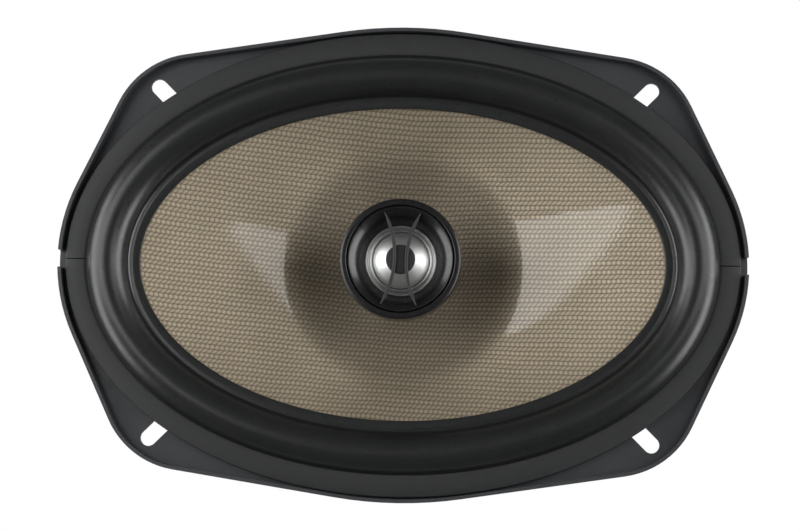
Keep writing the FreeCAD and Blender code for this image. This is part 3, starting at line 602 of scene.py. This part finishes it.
PAINTS = {
    "frame": frame_paint(),
    "gasket": gasket_paint(),
    "rubber": rubber_paint(),
    "weave": weave_paint(),
    "film": film_paint(),
    "copper": wound_paint(),
    "moulded": moulded_paint(),
    "gloss": gloss_paint(),
    "zinc": metal_paint("zinc_paint", (0.37, 0.37, 0.36), (0.27, 0.28, 0.29), 0.34, 0.48),
    "dome": turned_paint("dome_paint", (0.70, 0.71, 0.69), (0.62, 0.63, 0.61), 0.34, 0.42),
    "ring": turned_paint("ring_paint", (0.42, 0.43, 0.42), (0.34, 0.35, 0.34), 0.30, 0.38),
    "nickel": metal_paint("nickel_paint", (0.72, 0.70, 0.66), (0.6, 0.58, 0.55), 0.15, 0.25),
    "ferrite": ferrite_paint(),
    "spider": cloth_paint(),
    "board": board_paint(),
    "brass": metal_paint("brass_paint", (0.72, 0.54, 0.26), (0.55, 0.38, 0.16), 0.22, 0.36),
    "tin": metal_paint("tin_paint", (0.70, 0.70, 0.67), (0.52, 0.52, 0.50), 0.24, 0.40),
    "red_sheath": sheath_paint("red_sheath_paint", (0.38, 0.022, 0.018), (0.25, 0.012, 0.010)),
    "black_sheath": sheath_paint("black_sheath_paint", (0.03, 0.03, 0.03), (0.015, 0.015, 0.015)),
    "sleeve": sheath_paint("sleeve_paint", (0.018, 0.028, 0.075), (0.010, 0.015, 0.045)),
    "braid": metal_paint("braid_paint", (0.74, 0.46, 0.28), (0.48, 0.26, 0.14), 0.35, 0.5, 2.0, 0.1),
    "glue": glue_paint(),
}

CAD_PAINTS = {
    "basket": "frame",
    "top_plate": "zinc",
    "yoke": "zinc",
    "motor_rivets": "zinc",
    "post_washer": "zinc",
    "post_nut": "zinc",
    "tweeter_post": "moulded",
    "tweeter_cup": "zinc",
    "tweeter_magnet": "nickel",
    "tweeter_pole_disc": "zinc",
    "tweeter_coil_former": "tin",
    "tweeter_coil": "copper",
    "voice_coil_former": "film",
    "voice_coil_winding": "copper",
    "coil_wires": "copper",
    "cone_eyelets": "tin",
    "terminal_board": "board",
    "positive_tab": "brass",
    "negative_tab": "tin",
    "tab_rivets": "brass",
    "board_rivets": "zinc",
    "board_eyelets": "tin",
    "capacitor_leads": "tin",
}


def paint_cad_nodes():
    """Materials for the CAD pieces that stay as they are."""
    for node, paint in CAD_PAINTS.items():
        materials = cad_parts[node].data.materials
        materials.clear()
        materials.append(PAINTS[paint])


# ---- surround, gasket and cone -----------------------------------------------------------


def make_surround():
    """Half roll with its lands. The roll flexes with the cone, the outer land stays."""
    z0, z1 = LAND_Z, LAND_Z + RUBBER
    profile = [(LAND_OUT, z0), (LAND_OUT, z1 - 0.1), (LAND_OUT - 0.1, z1)]
    start = math.asin(RUBBER / ROLL_OUTER_R)
    steps, foot, lift = 40, 0.35, 0.05  # the roll's feet curve in over foot (mm) and lift (rad)
    profile.append((ROLL_OUTER_R + foot, z1))
    for i in range(steps + 1):
        a = start + lift + (math.pi - 2 * start - 2 * lift) * i / steps
        profile.append((ROLL_OUTER_R * math.cos(a), z0 + ROLL_OUTER_R * math.sin(a)))
    profile.append((-ROLL_OUTER_R - foot, z1))
    profile += [(-8.5, z1), (-8.8, z1 + 0.05), (-9.1, z1 + 0.05), (-9.4, z1)]
    profile += [(-LAND_IN + 0.35, z1), (-LAND_IN + 0.08, z1 - 0.12)]
    profile += [(-LAND_IN, z1 - 0.4), (-LAND_IN, z0)]
    for i in range(steps + 1):
        a = math.pi - math.pi * i / steps
        profile.append((ROLL_INNER_R * math.cos(a), z0 + 0.001 + ROLL_INNER_R * math.sin(a)))
    obj = oval_sweep("surround_rubber", ROLL_PATH, profile, None, PAINTS["rubber"])
    share = [ease((ROLL_OUTER_R - o) / (2 * ROLL_OUTER_R)) for o, _ in profile]
    give_blend(obj, np.tile(share, len(obj.data.vertices) // len(profile)),
               (ROLL_PATH[0] * MM, 0, 0), ((ROLL_PATH[0] - ROLL_OUTER_R) * MM, 0, 0))
    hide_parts("surround")


def make_gaskets():
    """Two half ovals of fibre board, with a small lip over the foot of the roll."""
    outer = (GASKET_HIGH.x, GASKET_HIGH.y)
    inner = GASKET_INNER
    z0, z1 = GASKET_LOW.z, GASKET_HIGH.z
    seam = GASKET_LOW.y

    def oval(share):
        return [inner[k] + (outer[k] - inner[k]) * share for k in (0, 1)]

    # (share of the width from inner to outer edge, z); the negative shares are the lip
    outline = [(0, z0), (0, z1 - 0.9), (-0.2, z1 - 0.6), (-0.2, z1 - 0.3), (-0.12, z1 - 0.06), (0, z1),
               (0.93, z1), (0.975, z1 - 0.08), (1.0, z1 - 0.35), (1.0, z0)]
    for name, side in (("upper", 1), ("lower", -1)):
        points, segments = [], 240
        for i in range(segments + 1):
            for share, z in outline:
                a, b = oval(share)
                t0 = math.asin(seam / b)
                t = t0 + (math.pi - 2 * t0) * i / segments
                points.append((a * math.cos(t), side * b * math.sin(t), z))
        faces = tube_faces(segments + 1, len(outline))
        if side > 0:
            faces = [tuple(reversed(f)) for f in faces]
        node = "front_gasket_" + name
        obj = add_object(node + "_board", points, faces, FRAME_BODY, PAINTS["gasket"])
        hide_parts(node)


def cone_half_axes(share):
    """Front-face oval and height: 0 at the neck, 1 at the crease, 2 at the edge."""
    if share <= 1:
        r = NECK_R + (CREASE_R - NECK_R) * share
        return r, r, NECK_Z + (CREASE_Z - NECK_Z) * share
    t = share - 1
    a = CREASE_R + (CONE_EDGE[0] - CREASE_R) * t
    b = CREASE_R + (CONE_EDGE[1] - CREASE_R) * t
    return a, b, CREASE_Z + (CONE_TOP - CREASE_Z) * t


def glue_bead(name, r, z, half_width, half_height, body, count=10, segments=160):
    """A ring of glue, oval in section."""
    angles = [2 * math.pi * k / count for k in range(count)]
    section = [(r + half_width * math.cos(a), z + half_height * math.sin(a)) for a in angles]
    lathe(name, section, body, PAINTS["glue"], segments)


def make_cone():
    """Woven cone: round funnel to the crease, flatter oval wings outside it, collar behind."""
    inner, outer = 18, 40
    shares = [i / inner for i in range(inner)] + [1 + i / outer for i in range(outer + 1)]
    front = [cone_half_axes(s) for s in shares]
    back = [(a, b, z - CONE_WALL) for a, b, z in reversed(front)]
    rim = [(*CONE_RIM, CONE_TOP), (*CONE_RIM, CONE_TOP - CONE_WALL)]
    collar_r, bore_r = NECK_R + 0.35, FORMER_R + 0.05
    collar = [(collar_r, collar_r, z) for z in (NECK_Z - 1.2, CONE_LOW.z + 0.1)]
    collar += [(bore_r, bore_r, z) for z in (CONE_LOW.z, NECK_Z - 0.4)]
    stations = front + rim + back[:-1] + collar
    obj = oval_stack("cone_weave", stations, CONE_BODY, PAINTS["weave"], sharp=25)
    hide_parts("cone")
    glue_bead("neck_glue", bore_r - 0.4, NECK_Z - 0.25, 0.7, 0.4, CONE_BODY)


def make_spider():
    """Corrugated cloth disc between the shoulder and the former, glued at both edges; the glue is drawn as a
    bead at the shoulder only.
    """
    t = 0.4
    z = SPIDER_LOW.z + (SPIDER_HIGH.z - SPIDER_LOW.z) / 2
    waves, r0, r1 = 5, 18.2, 44.6
    wave = (SPIDER_HIGH.z - SPIDER_LOW.z - t) / 2
    steps = 16 * waves
    line = [(FORMER_R + 0.05, z + 0.5), (FORMER_R + 0.5, z)]
    for i in range(steps + 1):
        share = i / steps
        line.append((r0 + (r1 - r0) * share, z + wave * math.sin(2 * math.pi * waves * share)))
    line.append((SPIDER_HIGH.x, z))
    profile = [(r, h + t / 2) for r, h in line] + [(r, h - t / 2) for r, h in reversed(line)]
    obj = lathe("spider_cloth", profile, None, PAINTS["spider"], 192)
    share = [1 - ease((r - 17.5) / (46.0 - 17.5)) for r, _ in profile]
    give_blend(obj, np.tile(share, len(obj.data.vertices) // len(profile)),
               (0.046, 0, 0), (0.017, 0, 0))
    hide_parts("spider")
    glue_bead("spider_glue", SPIDER_HIGH.x - 0.3, z + 0.25, 1.0, 0.45, FRAME_BODY, 12)


# ---- tweeter -----------------------------------------------------------------------------


def make_bezel():
    """Gloss ring round the mouth, with a large outer radius."""
    top, low, skirt = BEZEL_HIGH.z, BEZEL_HIGH.z - 2.3, BEZEL_LOW.z
    r, inner, shell = BEZEL_HIGH.x, 18.3, HOUSING_HIGH.x + 0.05
    corners = [(inner, low), (inner, top), (r, top), (r, skirt), (shell, skirt), (shell, low)]
    profile = rounded(corners, [0.1, 0.35, 1.6, 0.3, 0.1, 0.1], 8)
    obj = lathe("bezel_ring", profile, FRAME_BODY, PAINTS["gloss"], 192)
    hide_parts("tweeter_bezel")


def make_waveguide():
    """Flared mouth with a narrow rim and a small lip at the throat."""
    r, throat_r = GUIDE_HIGH.x, 12.3
    top, back, throat_z = GUIDE_HIGH.z, GUIDE_LOW.z, 8.6
    profile = [(throat_r, back), (throat_r, throat_z - 0.15), (throat_r + 0.12, throat_z)]
    steps = 24
    for i in range(1, steps):
        t = i / steps
        swell = 0.14 * math.sin(math.pi * t)
        radius = throat_r + 0.12 + (r - 0.62 - throat_r) * t
        profile.append((radius, throat_z + (top - throat_z) * (t + swell)))
    profile += [(r - 0.5, top), (r - 0.15, top), (r, top - 0.15), (r, back)]
    obj = lathe("waveguide_flare", profile, FRAME_BODY, PAINTS["gloss"], 192)
    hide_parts("tweeter_waveguide")


def make_dome():
    """Metal dome with a rolled edge."""
    r, base, rise = DOME_HIGH.x, DOME_LOW.z, DOME_HIGH.z - DOME_LOW.z
    ball = (r * r + rise * rise) / (2 * rise)
    wall = 0.2

    def cap(radius, drop):
        count = 28
        limit = r - drop
        rows = [limit * i / count for i in range(count + 1)]
        return [(q, base + rise - ball + math.sqrt(radius**2 - q * q)) for q in rows]

    outer = cap(ball, 0.0)
    inner = [(q, max(z, base)) for q, z in reversed(cap(ball - wall, wall))]
    obj = cap_lathe("dome_shell", outer + inner, DOME_BODY, PAINTS["dome"], 160)
    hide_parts("tweeter_dome")


def make_suspension():
    """Metal film round the dome: two shallow ridges with a groove between them."""
    z = 7.8
    line = [(9.62, z - 0.05), (9.9, z + 0.28), (10.3, z + 0.42), (10.7, z + 0.28), (10.95, z),
            (11.15, z + 0.02), (11.5, z + 0.3), (11.9, z + 0.36), (12.2, z + 0.15), (12.5, z), (17.2, z)]
    t = 0.14
    profile = rounded([(r, h) for r, h in line] + [(r, h - t) for r, h in reversed(line)], 0.12, 2)
    obj = lathe("dome_suspension", profile, FRAME_BODY, PAINTS["ring"], 192, sharp=50)
    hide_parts("tweeter_suspension")


def make_housing():
    """Cup behind the bezel, with a parting line and a seat for the tweeter's motor."""
    low, top, r = HOUSING_LOW.z, HOUSING_HIGH.z, HOUSING_HIGH.x
    wall = 1.5
    corners = [(3.3, low), (r - 6, low), (r - 1.6, low + 3.4), (r, low + 8), (r, low + 11.0),
               (r - 0.25, low + 11.2), (r, low + 11.4), (r, top), (r - wall, top), (r - wall, low + 8.4),
               (r - 1.6 - wall, low + 4.4), (r - 6.6, low + wall), (3.3, low + wall)]
    radii = [0.2, 2.0, 2.0, 2.0, 0.05, 0.05, 0.05, 0.2, 0.2, 1.0, 1.0, 1.0, 0.2]
    obj = lathe("housing_shell", rounded(corners, radii, 5), FRAME_BODY, PAINTS["moulded"], 160)
    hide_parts("tweeter_housing")


BRIDGE_TURN = math.radians(-1.8)
BAR_END, BAR_WAIST, BAR_WIDTH = (6.1, 15.6), 2.0, 1.15
BAR_TAPER = 4.5  # length over which each end narrows


def make_bridge():
    """Two bowed bars across the mouth and the disc that they carry."""
    z0, z1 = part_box("phase_bridge")[0].z / MM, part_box("phase_bridge")[1].z / MM
    disc_r, disc_z = 5.0, (z0, z0 + 0.8)
    turn = Matrix.Rotation(BRIDGE_TURN, 3, "Z")
    points, faces = [], []
    steps = 36
    ex, ey = BAR_END
    rise = ex - BAR_WAIST
    bow_r = (ey * ey + rise * rise) / (2 * rise)
    section = rounded([(-0.5, 0), (-0.5, 1), (0.5, 1), (0.5, 0)], [0, 0.3, 0.3, 0], 4)
    for side in (1, -1):
        base = len(points)
        for i in range(steps + 1):
            y = ey * (2 * i / steps - 1)
            x = BAR_WAIST + bow_r - math.sqrt(bow_r**2 - y * y)
            slope = y / math.sqrt(bow_r**2 - y * y)
            across = Vector((1, -slope)).normalized()
            end = min(1.0, (ey - abs(y)) / BAR_TAPER + 0.3)
            for u, v in section:
                w = BAR_WIDTH * u * end
                px, py = side * (x + across.x * w), y + across.y * w
                points.append(turn @ Vector((px, py, z0 + 0.5 + (z1 - z0 - 0.5) * v)))
        faces += tube_faces(steps + 1, len(section), base)
    corners = [(0, disc_z[0]), (disc_r, disc_z[0]), (disc_r, disc_z[1]), (0, disc_z[1])]
    rim = rounded(corners, [0, 0.1, 0.35, 0], 4)
    base, segments, rings = len(points), 96, rim[1:-1]
    for i in range(segments):
        a = 2 * math.pi * i / segments
        points += [Vector((r * math.cos(a), r * math.sin(a), z)) for r, z in rings]
    faces += [tuple(base + v for v in f) for f in strip_faces(segments, len(rings), True, False)]
    faces.append(tuple(base + i * len(rings) for i in reversed(range(segments))))
    faces.append(tuple(base + i * len(rings) + len(rings) - 1 for i in range(segments)))
    obj = add_object("phase_bridge_moulding", points, faces, FRAME_BODY, PAINTS["moulded"], 40)
    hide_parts("phase_bridge")


# ---- motor, wires and terminals ----------------------------------------------------------


def make_magnet():
    """Ferrite ring, with glue squeezed out above and below it."""
    inner, outer = 22.0, MAGNET_HIGH.x
    low, high = MAGNET_LOW.z, MAGNET_HIGH.z
    corners = [(inner, low), (outer, low), (outer, high), (inner, high)]
    profile = rounded(corners, [0.3, 1.4, 1.4, 0.3], 5)
    obj = lathe("magnet_ring", profile, FRAME_BODY, PAINTS["ferrite"], 192)
    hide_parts("magnet")
    for name, z in (("upper", high), ("lower", low)):
        r = YOKE_HIGH.x + 0.1
        glue_bead("magnet_glue_" + name, r, z, 0.55, 0.35, FRAME_BODY, segments=192)


def make_capacitor():
    """Sleeved barrel with a crimp groove and a rubber bung at each end, lying along X."""
    half, r = CAP_HIGH.x, (CAP_HIGH.z - CAP_LOW.z) / 2
    y, z = (CAP_HIGH.y + CAP_LOW.y) / 2, (CAP_HIGH.z + CAP_LOW.z) / 2
    bung = [(0, half - 0.9), (r * 0.62, half - 0.9), (r * 0.66, half - 0.1)]
    lip = [(r - 0.7, half), (r - 0.15, half - 0.5), (r - 0.02, half - 2.0)]
    groove = [(r - 0.55, half - 2.7), (r - 0.02, half - 3.4)]
    side = bung + lip + groove + [(r, 0)]
    line = side + [(q, -x) for q, x in reversed(side[:-1])]
    obj = cap_lathe("capacitor_barrel", line, None, PAINTS["sleeve"], 64, 50)
    place = Matrix.Translation(Vector((0, y, z)) * MM) @ Matrix.Rotation(math.pi / 2, 4, "Y")
    obj.data.transform(place)
    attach(obj, FRAME_BODY)
    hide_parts("crossover_capacitor")


BACK, BOARD_UNDER = YOKE_LOW.z, BOARD_LOW.z
# down the hollow post, out at the yoke's back and up to the board's eyelets
WIRE_ROUTE = [
    (14.6, 0, 4.5), (14.4, 0, -1.8), (3.0, 0, -4.4), (1.15, 0, -8.5), (1.15, 0, BACK + 1.0),
    (1.15, -50.0, BACK + 1.0), (17.0, -50.6, BACK + 30.0), (17.0, -61.0, BOARD_UNDER - 4.0),
    (17.0, -61.0, BOARD_UNDER - 0.5),
]


def make_wires():
    """Two sheathed wires between the tweeter and the board."""
    for name, side, paint, slot in (("positive", 1, "red_sheath", "wire_sheath_red"),
                                    ("negative", -1, "black_sheath", "wire_sheath_black")):
        route = [(side * x, y, z) for x, y, z in WIRE_ROUTE]
        node = "tweeter_wire_" + name
        obj = tube(node + "_sheath", route, 0.7, 3.0, FRAME_BODY, PAINTS[paint])
        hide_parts(node)


def make_leads():
    """Braids from the tabs' rivets, in through the basket window, to the back of the cone."""
    tab, rivet_head, half_braid = 0.8, 0.6, 0.6
    start = BOARD_HIGH.z + tab + rivet_head + half_braid
    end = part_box("cone_eyelets")[0].z / MM - 1.2
    route = [
        (8.0, -62.3, start), (8.0, -68.0, start + 0.8), (7.5, -70.5, -30.0), (7.0, -68.0, -24.0),
        (7.0, -57.0, -23.0), (7.5, -44.0, -26.5), (8.0, -34.0, end - 3.2), (8.0, -30.2, end),
    ]
    for name, side in (("positive", 1), ("negative", -1)):
        node = "tinsel_lead_" + name
        mirrored = [(side * x, y, z) for x, y, z in route]
        obj = braid(node + "_braid", mirrored, 0.55, 60.0, PAINTS["braid"])
        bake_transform(obj, FRAME_BODY, CONE_BODY, start=(0, -0.062, 0), end=(0, -0.032, 0))
        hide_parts(node)


# ---- studio ------------------------------------------------------------------------------

TILT, PAN, ROLL = (math.radians(d) for d in (-7.05, -1.98, -0.68))
DISTANCE = 662.0
AIM = (-0.584, -0.584)  # sideways and upward shift of the camera's axis
LENS = 86.67


def make_camera():
    """The photo's view, a little off the axis."""
    data = bpy.data.cameras.new("camera")
    data.sensor_width = 36.0
    data.lens = LENS
    data.clip_start, data.clip_end = 0.01, 20.0
    turn = Matrix.Rotation(ROLL, 3, "Z") @ Matrix.Rotation(PAN, 3, "Y") @ Matrix.Rotation(TILT, 3, "X")
    back = turn.transposed()
    camera = bpy.data.objects.new("camera", data)
    camera.matrix_world = Matrix.Translation(back @ Vector((*AIM, DISTANCE)) * MM) @ back.to_4x4()
    bpy.context.scene.collection.objects.link(camera)
    bpy.context.scene.camera = camera


def softbox(name, corners, power):
    """A flat light that the camera doesn't see, from its corners in millimetres."""
    mesh = bpy.data.meshes.new(name)
    points = [[c * MM for c in corner] for corner in corners]
    mesh.from_pydata(points, [], [tuple(range(len(corners)))])
    material = bpy.data.materials.new(name + "_glow")
    material.use_nodes = True
    tree = material.node_tree
    tree.nodes.clear()
    glow = tree.nodes.new("ShaderNodeEmission")
    glow.inputs["Strength"].default_value = power
    out = tree.nodes.new("ShaderNodeOutputMaterial")
    tree.links.new(glow.outputs[0], out.inputs[0])
    mesh.materials.append(material)
    obj = bpy.data.objects.new(name, mesh)
    obj.visible_camera = False
    bpy.context.scene.collection.objects.link(obj)


BOX_Z = 700.0  # height of both boxes
BOX_FAR = 1250.0
LEFT_BOX = {"inner": 223.0, "bow": 0.00065, "low": -115.0, "high": 345.0, "foot": (92.0, 63.0)}
RIGHT_BOX = {"inner": 211.0, "bow": 0.00105, "low": -35.0, "high": 285.0, "foot": (45.0, 38.0)}
LEFT_BOX_POWER, RIGHT_BOX_POWER = 4.2, 3.5
WALL_X, WALL_Y, WALL_Z = 1000.0, 600.0, (120.0, 690.0)
LEFT_WALL_POWER, RIGHT_WALL_POWER = 5.2, 6.0
FLOOR_DROP, FLOOR_HALF = 60.0, 6.0  # millimetres under the part, half width in metres
FLOOR_POWER = 1.0
WORLD_LIGHT, WORLD_SEEN = 0.10, 1.0  # strength as a light, and as the background


def softbox_outline(side, inner, bow, low, high, foot):
    """Corners of a box beside the camera: a bowed inner edge and a small tongue at its foot."""
    across, up = foot
    steps = 12
    corners = [(inner + bow * ((high - low) * k / steps) ** 2, low + (high - low) * k / steps)
               for k in range(steps + 1)]
    corners += [(BOX_FAR, high + 60.0), (BOX_FAR, low + up), (inner + across, low + up),
                (inner + across / 2, low + up / 4)]
    return [(side * x, y, BOX_Z) for x, y in corners]


def make_studio():
    """White floor, two softboxes, two side walls of light and a white background."""
    bottom = cad_box[0].z - FLOOR_DROP * MM
    p = Paint("floor_paint", roughness=0.9)
    tone = p.noise(0.004, 2)
    p.use(base_color=p.mix(tone, (0.90, 0.90, 0.90), (0.93, 0.93, 0.93)))
    p.shader.inputs["Emission Color"].default_value = (1, 1, 1, 1)
    p.shader.inputs["Emission Strength"].default_value = FLOOR_POWER
    half = FLOOR_HALF
    mesh = bpy.data.meshes.new("floor")
    square = [(-half, -half), (half, -half), (half, half), (-half, half)]
    mesh.from_pydata([(x, y, bottom) for x, y in square], [], [(0, 1, 2, 3)])
    mesh.materials.append(p.material)
    floor = bpy.data.objects.new("floor", mesh)
    floor.visible_camera = False
    bpy.context.scene.collection.objects.link(floor)
    softbox("left_softbox", softbox_outline(-1, **LEFT_BOX), LEFT_BOX_POWER)
    softbox("right_softbox", softbox_outline(1, **RIGHT_BOX), RIGHT_BOX_POWER)
    low, high = WALL_Z
    for name, x, power in (("left_wall", -WALL_X, LEFT_WALL_POWER), ("right_wall", WALL_X, RIGHT_WALL_POWER)):
        corners = [(x, -WALL_Y, low), (x, WALL_Y, low), (x, WALL_Y, high), (x, -WALL_Y, high)]
        softbox(name, corners, power)
    world = bpy.data.worlds.new("world")
    bpy.context.scene.world = world
    world.use_nodes = True
    tree = world.node_tree
    shade = tree.nodes["Background"]
    seen = tree.nodes.new("ShaderNodeLightPath")
    strength = tree.nodes.new("ShaderNodeMapRange")
    tree.links.new(seen.outputs["Is Camera Ray"], strength.inputs["Value"])
    strength.inputs["To Min"].default_value = WORLD_LIGHT
    strength.inputs["To Max"].default_value = WORLD_SEEN
    tree.links.new(strength.outputs[0], shade.inputs["Strength"])
    shade.inputs["Color"].default_value = (1, 1, 1, 1)
    bpy.context.scene.view_settings.view_transform = "Standard"


paint_cad_nodes()
make_surround()
make_gaskets()
make_cone()
make_spider()
make_housing()
make_bezel()
make_waveguide()
make_dome()
make_suspension()
make_bridge()
make_magnet()
make_capacitor()
make_wires()
make_leads()
make_camera()
make_studio()
